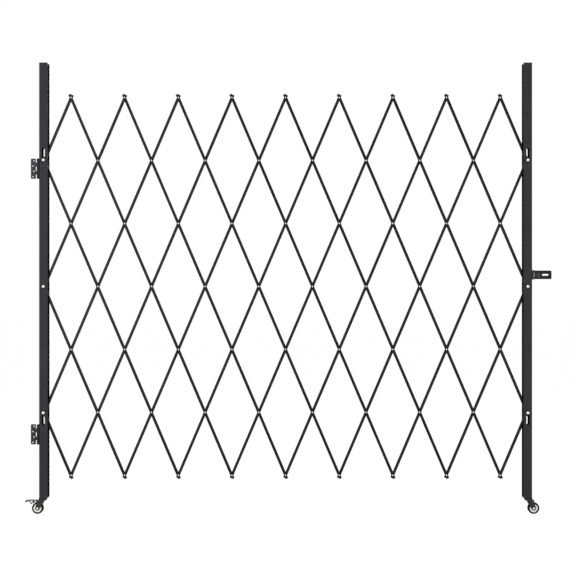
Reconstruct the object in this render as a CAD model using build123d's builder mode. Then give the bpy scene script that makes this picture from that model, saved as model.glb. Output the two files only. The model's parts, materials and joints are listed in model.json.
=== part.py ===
from build123d import *
from math import cos, radians, sin, sqrt
import os

# Expandable safety barrier: a lattice of riveted steel bars that folds like scissors
# between two channel posts on casters, hinged to a wall on the left and closed by a
# hasp on the right. Lengths are millimetres. +X runs along the gate to the hasp, -Y is
# the front and +Z is up. The origin is on the floor, under the middle of the gate.

# Posts, bent from sheet, open towards the lattice
overall_height = 1988.0
post_flange = 38.0
post_depth = 40.0
post_wall = 2.0
post_corner = 3.0
foot_plate = 4.0

# Lattice, spread as it stands
cells = 9
rows = 6
half_cell = 118.4
top_margin = 150.9
bottom_margin = 97.2

# Bars, two layers of small channels back to back
bar_width = 12.7
bar_depth = 6.5
bar_wall = 1.5
bar_corner = 1.8
layer_gap = 0.6
rising_end = 13.0
falling_end = 15.5

# Rivets at the crossings
rivet_diameter = 5.0
rivet_head_height = 1.8
rivet_side_room = 0.6
head_clearance = 0.1
running_clearance = 0.05

# Pivot bolts in the posts: the middle ones are fixed and the others slide in slots
bolt_diameter = 6.0
bolt_head_diameter = 14.5
bolt_head_height = 4.8
washer_diameter = 22.0
washer_thickness = 1.5
slide_clearance = 0.2
slot_end_room = 0.4

# Wall hinges
hinge_height = 89.0
leaf_reach = 31.0
leaf_thickness = 2.2
leaf_corner = 4.0
leaf_notch = 4.2
barrel_diameter = 9.6
barrel_clearance = 0.6
hinge_pin_diameter = 5.0
knuckles = 5
knuckle_gap = 0.3
upper_hinge_drop = 38.0
lower_hinge_drop = 95.0

# Screw holes of a hinge leaf, in a zigzag line
screws = 4
screw_hole_diameter = 5.0
screw_sink_diameter = 8.0
screw_sink_angle = 90.0
screw_end_inset = 9.1
screw_edge_inset = 11.0
screw_stagger = 2.4

# Rivets that hold the leaves to the posts
leaf_rivet_tail = 1.8

# Hasp
hasp_height = 42.0
hasp_rise = 51.0
hasp_leaf_reach = 29.0
hasp_barrel_diameter = 7.6
hasp_pin_diameter = 4.0
hasp_knuckles = 3
hasp_rivet_start = 10.0
hasp_rivet_inset = 8.0
strap_height = 38.0
strap_reach = 81.5
strap_thickness = 2.5
strap_corner = 6.0
strap_bend_start = 16.0
strap_bend_run = 8.0
strap_bend_step = 3.0
strap_slot_length = 28.0
strap_slot_width = 7.5
strap_slot_end = 13.5

# Casters
wheel_diameter = 50.8
wheel_width = 20.0
tyre_thickness = 7.8
tyre_shoulder = 3.0
tyre_gap = 6.2
caster_trail = 22.0
stem_offset = 6.0
stem_diameter = 10.0
raceway_diameter = 36.0
raceway_height = 11.6
raceway_bevel = 2.5
raceway_gap = 0.3
crown_length = 34.0
crown_lead = 7.0
crown_thickness = 3.0
leg_gap = 1.5
leg_thickness = 2.5
leg_end_radius = 9.5
leg_shoulder = 6.0
kingpin_diameter = 9.0
kingpin_head_diameter = 14.0
kingpin_head_height = 1.5
stem_nut_flats = 16.0
stem_nut_height = 6.0
stem_tip = 2.0
hub_recess = 3.0
hub_rim = 3.0
hub_rim_step = 1.0
hub_boss_diameter = 15.0
hub_boss_gap = 0.5
axle_diameter = 6.0
axle_head_diameter = 10.0
axle_head_height = 4.0

# Foot lever of the left caster's brake, a bent pressing with a triangular eye
lever_pivot_reach = 30.0
lever_pivot_rise = 4.2
lever_pivot_diameter = 4.0
lever_pivot_head = 7.0
lever_pivot_head_height = 1.5
lever_ear_radius = 5.0
lever_eye_radius = 4.5
lever_side_gap = 0.5
lever_sheet = 2.0
lever_neck_reach = 11.0
lever_neck_rise = 1.5
lever_neck_radius = 3.5
lever_loop_reach = 13.0
lever_loop_width = 15.0
lever_loop_drop = 10.5
lever_loop_radius = 3.0
lever_loop_thickness = 3.0
lever_loop_hole = 4.2
lever_loop_hole_drop = 4.4
lever_pad_length = 17.5
lever_pad_thickness = 4.0
lever_pad_drop = 2.5
shoe_diameter = 5.0
shoe_gap = 2.0
shoe_angle = 56.5

# What follows from the sizes above
columns = 2 * cells
raceway_bottom = wheel_diameter + tyre_gap + crown_thickness + raceway_gap
post_bottom = raceway_bottom + raceway_height
post_height = overall_height - post_bottom
level_rise = (post_height - top_margin - bottom_margin) / rows
link = sqrt(half_cell**2 + level_rise**2)
lean = Vector(half_cell / link, 0, level_rise / link)
folded_half_cell = bar_width
folded_rise = sqrt(link**2 - folded_half_cell**2)
slot_travel = (rows // 2 - 1) * (folded_rise - level_rise)

post_inner_half = post_depth / 2 - post_wall
pivot_to_web = post_flange / 2
leaf_rivet_diameter = screw_hole_diameter
rivet_head_radius = bar_width / 2 - bar_wall - rivet_side_room
rivet_grip = layer_gap + 2 * (bar_wall + head_clearance)
bars_half_depth = layer_gap / 2 + bar_depth
bush_radius = bar_width / 2
washer_face = post_depth / 2 + slide_clearance

hinge_pin_offset = barrel_diameter / 2 + barrel_clearance
hasp_pin_offset = hasp_barrel_diameter / 2 + barrel_clearance
pin_y = -post_depth / 2
lever_reach = lever_pivot_reach + lever_loop_reach + lever_loop_width + lever_pad_length
left_reach = max(pivot_to_web + hinge_pin_offset + leaf_reach, stem_offset + lever_reach)
right_reach = pivot_to_web + hasp_pin_offset + strap_reach
overall_width = left_reach + columns * half_cell + right_reach
left_pivot = -overall_width / 2 + left_reach
right_pivot = overall_width / 2 - right_reach
hinge_pin_x = left_pivot - pivot_to_web - hinge_pin_offset
hasp_pin_x = right_pivot + pivot_to_web + hasp_pin_offset
left_stem = left_pivot - stem_offset
right_stem = right_pivot + stem_offset

middle_level = rows // 2
leg_inner = wheel_width / 2 + leg_gap
leg_outer = leg_inner + leg_thickness
crown_bottom = wheel_diameter + tyre_gap
wheel_radius = wheel_diameter / 2
hub_radius = wheel_radius - tyre_thickness
lever_pivot_z = wheel_diameter + lever_pivot_rise


def node_x(column):
    return left_pivot + column * half_cell


def level_z(level):
    return overall_height - top_margin - level * level_rise


hinge_centres = (
    level_z(1) - upper_hinge_drop,
    level_z(rows - 1) - lower_hinge_drop,
)
hasp_centre = level_z(middle_level) + hasp_rise
screw_pitch = (hinge_height - 2 * screw_end_inset) / (screws - 1)


def screw_places(centre):
    """(height, sideways shift) of each hole of a leaf: every other one is shifted back."""
    places = []
    for number in range(screws):
        height = centre + ((screws - 1) / 2 - number) * screw_pitch
        places.append((height, screw_stagger * (-1) ** number))
    return places


def on_post(column):
    return column in (0, columns)


def rising_crossings(line):
    """Crossings (column, level) of one bar that climbs to the right."""
    span = range(max(0, line - rows), min(columns, line) + 1)
    return [(column, line - column) for column in span]


def falling_crossings(line):
    """Crossings (column, level) of one bar that drops to the right."""
    span = range(max(0, line), min(columns, line + rows) + 1)
    return [(column, column - line) for column in span]


def channel_bar(crossings, slope, layer, end_run):
    """One bar. slope is 1 where it climbs to the right, layer is 1 behind and -1 in front."""
    column, level = max(crossings, key=lambda place: place[1])
    upward = Vector(slope * lean.X, 0, lean.Z)
    foot = Vector(node_x(column), 0, level_z(level)) - upward * end_run
    across = Vector(lean.Z, 0, -slope * lean.X)
    length = (len(crossings) - 1) * link + 2 * end_run
    middle = layer * (layer_gap / 2 + bar_depth / 2)
    with BuildPart() as bar:
        with BuildSketch(Plane(origin=foot, x_dir=across, z_dir=upward)) as section:
            with Locations((0, middle)):
                Rectangle(bar_width, bar_depth)
            with Locations((0, middle + layer * bar_wall)):
                Rectangle(bar_width - 2 * bar_wall, bar_depth, mode=Mode.SUBTRACT)
            corners = section.vertices().group_by(Axis.Y)[::layer]
            fillet(corners[0], radius=bar_corner)
            fillet(corners[1], radius=bar_corner - bar_wall)
        extrude(amount=length)
        with BuildSketch(Plane.XZ):
            for column, level in crossings:
                diameter = bolt_diameter if on_post(column) else rivet_diameter
                with Locations((node_x(column), level_z(level))):
                    Circle(diameter / 2 + running_clearance)
        extrude(amount=post_depth, both=True, mode=Mode.SUBTRACT)
    return bar


def domed_pin(diameter, head_diameter, head_height, grip):
    """A pin along Y with a domed head at each end, grip apart inside."""
    shank, head, base = diameter / 2, head_diameter / 2, grip / 2
    dome = (head**2 + head_height**2) / (2 * head_height)
    with BuildPart() as pin:
        with BuildSketch():
            with BuildLine():
                front = RadiusArc((0, base + head_height), (head, base), dome)
                rear = RadiusArc((head, -base), (0, -base - head_height), dome)
                Polyline(front @ 1, (shank, base), (shank, -base), rear @ 0)
                Line(rear @ 1, front @ 0)
            make_face()
        revolve(axis=Axis.Y)
    return pin


def ring(outer, inner, start, length):
    """A ring about Y, from start, added to the piece that is being made."""
    with BuildSketch(Plane.XZ.offset(-start)) as end:
        Circle(outer)
        Circle(inner, mode=Mode.SUBTRACT)
    extrude(end.sketch, amount=-length)


crossing_rivet = domed_pin(
    rivet_diameter, 2 * rivet_head_radius, rivet_head_height, rivet_grip
)

# The lattice: rising bars behind, falling bars in front
rising_lines = range(1, columns + rows, 2)
falling_lines = range(1 - rows, columns, 2)

for number, line in enumerate(rising_lines, 1):
    crossings = rising_crossings(line)
    bar = channel_bar(crossings, 1, 1, rising_end)
    bar.part.label = f"rising_bar_{number:02d}"
    export_step(bar.part, f"parts/{bar.part.label}.step")

    with BuildPart() as rivets:
        inner = [place for place in crossings if not on_post(place[0])]
        with Locations(*[(node_x(column), 0, level_z(level)) for column, level in inner]):
            add(crossing_rivet.part)
    rivets.part.label = f"rivets_{number:02d}"
    export_step(rivets.part, f"parts/{rivets.part.label}.step")

for number, line in enumerate(falling_lines, 1):
    bar = channel_bar(falling_crossings(line), -1, -1, falling_end)
    bar.part.label = f"falling_bar_{number:02d}"
    export_step(bar.part, f"parts/{bar.part.label}.step")


# Pivot bolts, with a washer under each head and a bush on each side of the bars
def pivot_bolt(bush_end):
    head_face = washer_face + washer_thickness + running_clearance
    bolt = domed_pin(bolt_diameter, bolt_head_diameter, bolt_head_height, 2 * head_face)
    bore = bolt_diameter / 2 + running_clearance
    bush_start = bars_half_depth + head_clearance
    with BuildPart() as group:
        add(bolt.part)
        for side in (-1, 1):
            ring(washer_diameter / 2, bore, side * washer_face, side * washer_thickness)
            ring(bush_radius, bore, side * bush_start, side * (bush_end - bush_start))
    return group


sliding_bolt = pivot_bolt(washer_face - running_clearance)
fixed_bolt = pivot_bolt(post_inner_half - running_clearance)

for name, column, level in (
    ("upper_left_slide_bolt", 0, 1),
    ("lower_left_slide_bolt", 0, rows - 1),
    ("upper_right_slide_bolt", columns, 1),
    ("lower_right_slide_bolt", columns, rows - 1),
):
    with BuildPart() as bolt:
        with Locations((node_x(column), 0, level_z(level))):
            add(sliding_bolt.part)
    bolt.part.label = name
    export_step(bolt.part, f"parts/{name}.step")


def channel_post(pivot_x, side, rivet_places):
    """One post. side is -1 for the left one and 1 for the right, where its web is."""
    web_x = pivot_x + side * pivot_to_web
    stem_x = pivot_x + side * stem_offset
    with BuildPart() as post:
        with BuildSketch(Plane.XY.offset(post_bottom)) as channel:
            with Locations((pivot_x, 0)):
                Rectangle(post_flange, post_depth)
            with Locations((pivot_x - side * post_wall, 0)):
                Rectangle(post_flange, 2 * post_inner_half, mode=Mode.SUBTRACT)
            corners = channel.vertices().group_by(Axis.X)[::-side]
            fillet(corners[0], radius=post_corner)
            fillet(corners[1], radius=post_corner - post_wall)
        extrude(amount=post_height)
        with BuildSketch(Plane.XY.offset(post_bottom)):
            with Locations((pivot_x - side * post_wall / 2, 0)):
                Rectangle(post_flange - post_wall, 2 * post_inner_half)
            with Locations((stem_x, 0)):
                Circle(stem_diameter / 2 + running_clearance, mode=Mode.SUBTRACT)
        extrude(amount=foot_plate)
        with BuildSketch(Plane.XZ):
            width = 2 * (bush_radius + running_clearance)
            run = slot_travel + 2 * slot_end_room
            for level, way in ((1, 1), (rows - 1, -1)):
                with Locations((pivot_x, level_z(level) + way * slot_travel / 2)):
                    SlotCenterToCenter(run, width, rotation=90)
            with Locations((pivot_x, level_z(middle_level))):
                Circle(bolt_diameter / 2 + running_clearance)
        extrude(amount=post_depth, both=True, mode=Mode.SUBTRACT)
        with BuildSketch(Plane.YZ.offset(web_x)):
            with Locations(*rivet_places):
                Circle(leaf_rivet_diameter / 2 + running_clearance)
        extrude(amount=-side * 2 * post_wall, mode=Mode.SUBTRACT)
    return post


hinge_leaf_middle = pin_y + leaf_reach - screw_edge_inset
hinge_rivet_places = [
    (hinge_leaf_middle + shift, height)
    for centre in hinge_centres
    for height, shift in screw_places(centre)
]
hasp_rivet_places = [
    (y, hasp_centre + way * (hasp_height / 2 - hasp_rivet_inset))
    for y in (pin_y + hasp_rivet_start, pin_y + hasp_leaf_reach - hasp_rivet_inset)
    for way in (-1, 1)
]

left_post = channel_post(left_pivot, -1, hinge_rivet_places)
left_post.part.label = "left_post"
export_step(left_post.part, "parts/left_post.step")

right_post = channel_post(right_pivot, 1, hasp_rivet_places)
right_post.part.label = "right_post"
export_step(right_post.part, "parts/right_post.step")


# Rivets of the leaves: countersunk outside, with a formed head inside the channel
def leaf_rivet(side):
    """One rivet about X, its flush end at the origin, pointing into the post."""
    shank, sink = leaf_rivet_diameter / 2, screw_sink_diameter / 2
    depth = sink - shank
    grip = leaf_thickness + post_wall
    with BuildPart() as rivet:
        with BuildSketch():
            with BuildLine():
                Polyline(
                    (0, 0),
                    (0, sink),
                    (-side * depth, shank),
                    (-side * grip, shank),
                    (-side * grip, sink),
                )
                RadiusArc(
                    (-side * grip, sink),
                    (-side * (grip + leaf_rivet_tail), 0),
                    -side * (sink**2 + leaf_rivet_tail**2) / (2 * leaf_rivet_tail),
                )
                Line((-side * (grip + leaf_rivet_tail), 0), (0, 0))
            make_face()
        revolve(axis=Axis.X)
    return rivet


def post_fasteners(pivot_x, side, places):
    """The fixed middle bolt and the rivets of the leaves on one post."""
    outside = pivot_x + side * (pivot_to_web + leaf_thickness)
    with BuildPart() as fasteners:
        with Locations((pivot_x, 0, level_z(middle_level))):
            add(fixed_bolt.part)
        rivet = leaf_rivet(side)
        with Locations(*[(outside, y, z) for y, z in places]):
            add(rivet.part)
    return fasteners


left_fasteners = post_fasteners(left_pivot, -1, hinge_rivet_places)
left_fasteners.part.label = "left_post_fasteners"
export_step(left_fasteners.part, "parts/left_post_fasteners.step")

right_fasteners = post_fasteners(right_pivot, 1, hasp_rivet_places)
right_fasteners.part.label = "right_post_fasteners"
export_step(right_fasteners.part, "parts/right_post_fasteners.step")


def knuckle(pin_x, radius, bottom, height, number, count):
    """Adds knuckle number of count, counted from the bottom of a barrel."""
    pitch = height / count
    with BuildSketch(Plane.XY.offset(bottom + number * pitch + knuckle_gap / 2)) as end:
        with Locations((pin_x, pin_y)):
            Circle(radius)
    extrude(end.sketch, amount=pitch - knuckle_gap)


def bore_barrel(pin_x, diameter, bottom, height):
    with BuildSketch(Plane.XY.offset(bottom)) as end:
        with Locations((pin_x, pin_y)):
            Circle(diameter / 2)
    extrude(end.sketch, amount=height, mode=Mode.SUBTRACT)


def clear_knuckle(pin_x, pin_room, bottom, height, number, count):
    """Cuts the leaf away beside a knuckle of the other leaf."""
    pitch = height / count
    with BuildSketch(Plane.XY.offset(bottom + number * pitch - knuckle_gap / 2)) as end:
        with Locations((pin_x, pin_y)):
            Rectangle(2 * pin_room, 2 * pin_room)
    extrude(end.sketch, amount=pitch + knuckle_gap, mode=Mode.SUBTRACT)


def sunk_holes(outwards, points, clearance=0):
    """Countersunk holes through a leaf, from points on its outer face."""
    with Locations(*[Plane(origin=point, z_dir=outwards) for point in points]):
        CounterSinkHole(
            screw_hole_diameter / 2 + clearance,
            screw_sink_diameter / 2 + clearance,
            depth=leaf_thickness,
            counter_sink_angle=screw_sink_angle,
        )


# Wall hinges: one leaf on the wall, one on the post's web, and the pin between them
barrel_radius = barrel_diameter / 2
notch_room = barrel_radius + leaf_notch
wall_face_y = pin_y + barrel_radius
wall_side = range(1, knuckles, 2)
post_side = range(0, knuckles, 2)

with BuildPart() as wall_leaves:
    for centre in hinge_centres:
        with BuildSketch(Plane.XZ.offset(-wall_face_y)) as plate:
            with Locations((hinge_pin_x - leaf_reach / 2, centre)):
                Rectangle(leaf_reach, hinge_height)
            fillet(plate.vertices().group_by(Axis.X)[0], radius=leaf_corner)
        extrude(amount=leaf_thickness)
    for centre in hinge_centres:
        bottom = centre - hinge_height / 2
        for number in post_side:
            clear_knuckle(hinge_pin_x, notch_room, bottom, hinge_height, number, knuckles)
        for number in wall_side:
            knuckle(hinge_pin_x, barrel_radius, bottom, hinge_height, number, knuckles)
        bore_barrel(hinge_pin_x, hinge_pin_diameter, bottom, hinge_height)
    hole_x = hinge_pin_x - leaf_reach + screw_edge_inset
    wall_holes = [
        (hole_x + shift, wall_face_y - leaf_thickness, height)
        for centre in hinge_centres
        for height, shift in screw_places(centre)
    ]
    sunk_holes((0, -1, 0), wall_holes)
wall_leaves.part.label = "hinge_wall_leaves"
export_step(wall_leaves.part, "parts/hinge_wall_leaves.step")

left_web = left_pivot - pivot_to_web
right_web = right_pivot + pivot_to_web

with BuildPart() as post_leaves:
    for centre in hinge_centres:
        with BuildSketch(Plane.YZ.offset(left_web)) as plate:
            with Locations((pin_y + leaf_reach / 2, centre)):
                Rectangle(leaf_reach, hinge_height)
            fillet(plate.vertices().group_by(Axis.X)[-1], radius=leaf_corner)
        extrude(amount=-leaf_thickness)
    for centre in hinge_centres:
        bottom = centre - hinge_height / 2
        for number in wall_side:
            room = barrel_radius + barrel_clearance
            clear_knuckle(hinge_pin_x, room, bottom, hinge_height, number, knuckles)
        for number in post_side:
            knuckle(hinge_pin_x, barrel_radius, bottom, hinge_height, number, knuckles)
        loose = hinge_pin_diameter + 2 * running_clearance
        bore_barrel(hinge_pin_x, loose, bottom, hinge_height)
    outside = left_web - leaf_thickness
    rivet_holes = [(outside, y, z) for y, z in hinge_rivet_places]
    sunk_holes((-1, 0, 0), rivet_holes, running_clearance)
post_leaves.part.label = "hinge_post_leaves"
export_step(post_leaves.part, "parts/hinge_post_leaves.step")

with BuildPart() as hinge_pins:
    for centre in hinge_centres:
        with BuildSketch(Plane.XY.offset(centre - hinge_height / 2)):
            with Locations((hinge_pin_x, pin_y)):
                Circle(hinge_pin_diameter / 2)
        extrude(amount=hinge_height)
hinge_pins.part.label = "hinge_pins"
export_step(hinge_pins.part, "parts/hinge_pins.step")

# Hasp: a base with its pin on the right post's web, and the strap that swings on it
hasp_radius = hasp_barrel_diameter / 2
hasp_bottom = hasp_centre - hasp_height / 2

with BuildPart() as hasp_base:
    with BuildSketch(Plane.YZ.offset(right_web)) as plate:
        with Locations((pin_y + hasp_leaf_reach / 2, hasp_centre)):
            Rectangle(hasp_leaf_reach, hasp_height)
        fillet(plate.vertices().group_by(Axis.X)[-1], radius=leaf_corner)
    extrude(amount=leaf_thickness)
    room = hasp_radius + barrel_clearance
    clear_knuckle(hasp_pin_x, room, hasp_bottom, hasp_height, 1, hasp_knuckles)
    for number in (0, 2):
        knuckle(hasp_pin_x, hasp_radius, hasp_bottom, hasp_height, number, hasp_knuckles)
    bore_barrel(hasp_pin_x, hasp_pin_diameter, hasp_bottom, hasp_height)
    outside = right_web + leaf_thickness
    rivet_holes = [(outside, y, z) for y, z in hasp_rivet_places]
    sunk_holes((1, 0, 0), rivet_holes, running_clearance)
    with BuildSketch(Plane.XY.offset(hasp_bottom)):
        with Locations((hasp_pin_x, pin_y)):
            Circle(hasp_pin_diameter / 2)
    extrude(amount=hasp_height)
hasp_base.part.label = "hasp_base"
export_step(hasp_base.part, "parts/hasp_base.step")

with BuildPart() as hasp_strap:
    back = pin_y + hasp_radius
    front = back - strap_thickness
    bend_end = strap_bend_start + strap_bend_run
    outline = [
        (hasp_pin_x, front),
        (hasp_pin_x, back),
        (hasp_pin_x + strap_bend_start, back),
        (hasp_pin_x + bend_end, back + strap_bend_step),
        (hasp_pin_x + strap_reach, back + strap_bend_step),
        (hasp_pin_x + strap_reach, front + strap_bend_step),
        (hasp_pin_x + bend_end, front + strap_bend_step),
        (hasp_pin_x + strap_bend_start, front),
    ]
    with BuildSketch(Plane.XY.offset(hasp_centre - strap_height / 2)):
        with BuildLine():
            Polyline(*outline, close=True)
        make_face()
    extrude(amount=strap_height)
    fillet(
        hasp_strap.edges().filter_by(Axis.Y).group_by(Axis.X)[-1], radius=strap_corner
    )
    with BuildSketch(Plane.XZ):
        slot_middle = strap_reach - strap_slot_end - strap_slot_length / 2
        with Locations((hasp_pin_x + slot_middle, hasp_centre)):
            SlotOverall(strap_slot_length, strap_slot_width)
    extrude(amount=post_depth, both=True, mode=Mode.SUBTRACT)
    for number in (0, 2):
        room = hasp_radius + barrel_clearance
        clear_knuckle(hasp_pin_x, room, hasp_bottom, hasp_height, number, hasp_knuckles)
    knuckle(hasp_pin_x, hasp_radius, hasp_bottom, hasp_height, 1, hasp_knuckles)
    loose = hasp_pin_diameter + 2 * running_clearance
    bore_barrel(hasp_pin_x, loose, hasp_bottom, hasp_height)
hasp_strap.part.label = "hasp_strap"
export_step(hasp_strap.part, "parts/hasp_strap.step")


# Casters, trailing outwards
def side_plane(stem_x, side):
    """A plane along the gate through a caster's stem, with outwards as its own +X."""
    return Plane(origin=(stem_x, 0, 0), x_dir=(side, 0, 0), z_dir=(0, -side, 0))


def caster_stem(stem_x):
    """The raceway under the post, its stem and nut, and the kingpin below."""
    plate_top = post_bottom + foot_plate
    nut_top = plate_top + stem_nut_height
    raceway = raceway_diameter / 2
    stem, kingpin = stem_diameter / 2, kingpin_diameter / 2
    kingpin_head = kingpin_head_diameter / 2
    kingpin_end = crown_bottom - head_clearance
    with BuildPart() as piece:
        with BuildSketch(Plane.XZ) as profile:
            with BuildLine():
                Polyline(
                    (0, nut_top + stem_tip),
                    (stem, nut_top + stem_tip),
                    (stem, post_bottom),
                    (raceway - raceway_bevel, post_bottom),
                    (raceway, post_bottom - raceway_bevel),
                    (raceway, raceway_bottom),
                    (kingpin, raceway_bottom),
                    (kingpin, kingpin_end),
                    (kingpin_head, kingpin_end),
                    (kingpin_head, kingpin_end - kingpin_head_height),
                    (0, kingpin_end - kingpin_head_height),
                    close=True,
                )
            make_face()
        revolve(axis=Axis.Z)
        with BuildSketch(Plane.XY.offset(plate_top)):
            RegularPolygon(stem_nut_flats / 2, 6, major_radius=False)
            Circle(stem + running_clearance, mode=Mode.SUBTRACT)
        extrude(amount=stem_nut_height)
    piece.part.locate(Location((stem_x, 0, 0)))
    return piece


def caster_fork(stem_x, side, braked):
    """Crown and two legs, with ears for the brake lever where the caster has one."""
    plane = side_plane(stem_x, side)
    crown_end = crown_length - crown_lead
    crown_middle = crown_bottom + crown_thickness / 2
    leg_width = crown_length - leg_shoulder
    with BuildPart() as fork:
        with BuildSketch(plane):
            with Locations((crown_end - crown_length / 2, crown_middle)):
                Rectangle(crown_length, crown_thickness)
        extrude(amount=leg_outer, both=True)
        with BuildSketch(plane):
            with Locations((leg_width / 2 - crown_lead, crown_middle)):
                Rectangle(leg_width, crown_thickness)
            with Locations((caster_trail, wheel_radius)):
                Circle(leg_end_radius)
            make_hull()
        extrude(amount=leg_outer, both=True)
        if braked:
            with BuildSketch(plane):
                with Locations((crown_end - leg_shoulder / 2, crown_middle)):
                    Rectangle(leg_shoulder, crown_thickness)
                with Locations((lever_pivot_reach, lever_pivot_z)):
                    Circle(lever_ear_radius)
                make_hull()
            extrude(amount=leg_outer, both=True)
        with BuildSketch(plane):
            with Locations((0, crown_bottom / 2)):
                Rectangle(2 * raceway_diameter, crown_bottom)
            with Locations((crown_end - leg_thickness, 0)):
                Rectangle(raceway_diameter, post_bottom, align=(Align.MIN, Align.MIN))
        extrude(amount=leg_inner, both=True, mode=Mode.SUBTRACT)
        with BuildSketch(plane):
            with Locations((caster_trail, wheel_radius)):
                Circle(axle_diameter / 2 + running_clearance)
            if braked:
                with Locations((lever_pivot_reach, lever_pivot_z)):
                    Circle(lever_pivot_diameter / 2 + running_clearance)
        extrude(amount=post_depth, both=True, mode=Mode.SUBTRACT)
        with BuildSketch(Plane.XY.offset(crown_bottom)):
            with Locations((stem_x, 0)):
                Circle(kingpin_diameter / 2 + running_clearance)
        extrude(amount=crown_thickness, mode=Mode.SUBTRACT)
    return fork


def wheel_tyre(axle_x):
    with BuildPart() as tyre:
        with BuildSketch(Plane.XY) as section:
            with Locations((hub_radius + tyre_thickness / 2, 0)):
                Rectangle(tyre_thickness, wheel_width)
            fillet(section.vertices().group_by(Axis.X)[-1], radius=tyre_shoulder)
        revolve(axis=Axis.Y)
    tyre.part.locate(Location((axle_x, 0, wheel_radius)))
    return tyre


def wheel_hub(axle_x):
    rim_half = wheel_width / 2 - hub_rim_step
    web_half = wheel_width / 2 - hub_recess
    boss_half = leg_inner - hub_boss_gap
    boss = hub_boss_diameter / 2
    half = [
        (boss, boss_half),
        (boss, web_half),
        (hub_radius - hub_rim, web_half),
        (hub_radius - hub_rim, rim_half),
        (hub_radius, rim_half),
    ]
    bore = axle_diameter / 2 + running_clearance
    outline = [(bore, boss_half), *half]
    outline += [(x, -y) for x, y in reversed(outline)]
    with BuildPart() as hub:
        with BuildSketch(Plane.XY):
            with BuildLine():
                Polyline(*outline, close=True)
            make_face()
        revolve(axis=Axis.Y)
    hub.part.locate(Location((axle_x, 0, wheel_radius)))
    return hub


def caster_pins(stem_x, side, braked):
    """The axle and, with a brake, the pin that its lever turns on."""
    axle = domed_pin(axle_diameter, axle_head_diameter, axle_head_height, 2 * leg_outer)
    with BuildPart() as pins:
        with Locations((stem_x + side * caster_trail, 0, wheel_radius)):
            add(axle.part)
        if braked:
            lever_pin = domed_pin(
                lever_pivot_diameter,
                lever_pivot_head,
                lever_pivot_head_height,
                2 * leg_outer,
            )
            with Locations((stem_x + side * lever_pivot_reach, 0, lever_pivot_z)):
                add(lever_pin.part)
    return pins


def brake_lever(stem_x, side):
    """Two cheeks, a shoe bar between them, and a top plate with an eye and a foot pad."""
    plane = side_plane(stem_x, side)
    half = leg_inner - lever_side_gap
    neck = (lever_pivot_reach + lever_neck_reach, lever_pivot_z + lever_neck_rise)
    loop_x = lever_pivot_reach + lever_loop_reach
    loop_end = loop_x + lever_loop_width
    loop_middle = loop_x + lever_loop_width / 2
    top = neck[1] + lever_neck_radius
    loop_top = top - lever_loop_radius
    pad_end = loop_end + lever_pad_length
    pad_radius = lever_pad_thickness / 2
    shoe_reach = wheel_radius + shoe_gap + shoe_diameter / 2
    shoe_x = caster_trail + shoe_reach * cos(radians(shoe_angle))
    shoe_z = wheel_radius + shoe_reach * sin(radians(shoe_angle))
    with BuildPart() as lever:
        with BuildSketch(plane):
            with Locations((lever_pivot_reach, lever_pivot_z)):
                Circle(lever_eye_radius)
            with Locations(neck):
                Circle(lever_neck_radius)
            make_hull()
        extrude(amount=half, both=True)
        with BuildSketch(plane):
            with Locations((neck[0], top)):
                Rectangle(loop_end - neck[0], lever_sheet, align=(Align.MIN, Align.MAX))
        extrude(amount=half, both=True)
        with BuildSketch(plane):
            with Locations((loop_end - pad_radius, top - pad_radius)):
                Circle(pad_radius)
            with Locations((pad_end - pad_radius, top - pad_radius - lever_pad_drop)):
                Circle(pad_radius)
            make_hull()
        extrude(amount=half, both=True)
        with BuildSketch(plane):
            with Locations((loop_end, top - lever_sheet)):
                Rectangle(post_flange, crown_bottom, align=(Align.MAX, Align.MAX))
        extrude(amount=half - lever_sheet, both=True, mode=Mode.SUBTRACT)
        with BuildSketch(plane):
            with Locations((shoe_x, shoe_z)):
                Circle(shoe_diameter / 2)
        extrude(amount=half, both=True)
        with BuildSketch(plane):
            with Locations((loop_x, loop_top), (loop_end, loop_top)):
                Circle(lever_loop_radius)
            with Locations((loop_middle, lever_pivot_z - lever_loop_drop)):
                Circle(lever_loop_radius)
            make_hull()
        extrude(amount=lever_loop_thickness / 2, both=True)
        with BuildSketch(plane):
            with Locations((loop_middle, loop_top - lever_loop_hole_drop)):
                Circle(lever_loop_hole)
            with Locations((lever_pivot_reach, lever_pivot_z)):
                Circle(lever_pivot_diameter / 2 + running_clearance)
        extrude(amount=post_depth, both=True, mode=Mode.SUBTRACT)
    return lever


for name, stem_x, side in (("left", left_stem, -1), ("right", right_stem, 1)):
    braked = name == "left"
    pieces = {
        "stem": caster_stem(stem_x),
        "fork": caster_fork(stem_x, side, braked),
        "tyre": wheel_tyre(stem_x + side * caster_trail),
        "hub": wheel_hub(stem_x + side * caster_trail),
        "axle": caster_pins(stem_x, side, braked),
    }
    if braked:
        pieces["brake_lever"] = brake_lever(stem_x, side)
    for kind, piece in pieces.items():
        piece.part.label = f"{name}_caster_{kind}"
        export_step(piece.part, f"parts/{piece.part.label}.step")
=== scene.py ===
import json
import math

import bmesh
import bpy
from mathutils import Matrix, Vector


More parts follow.
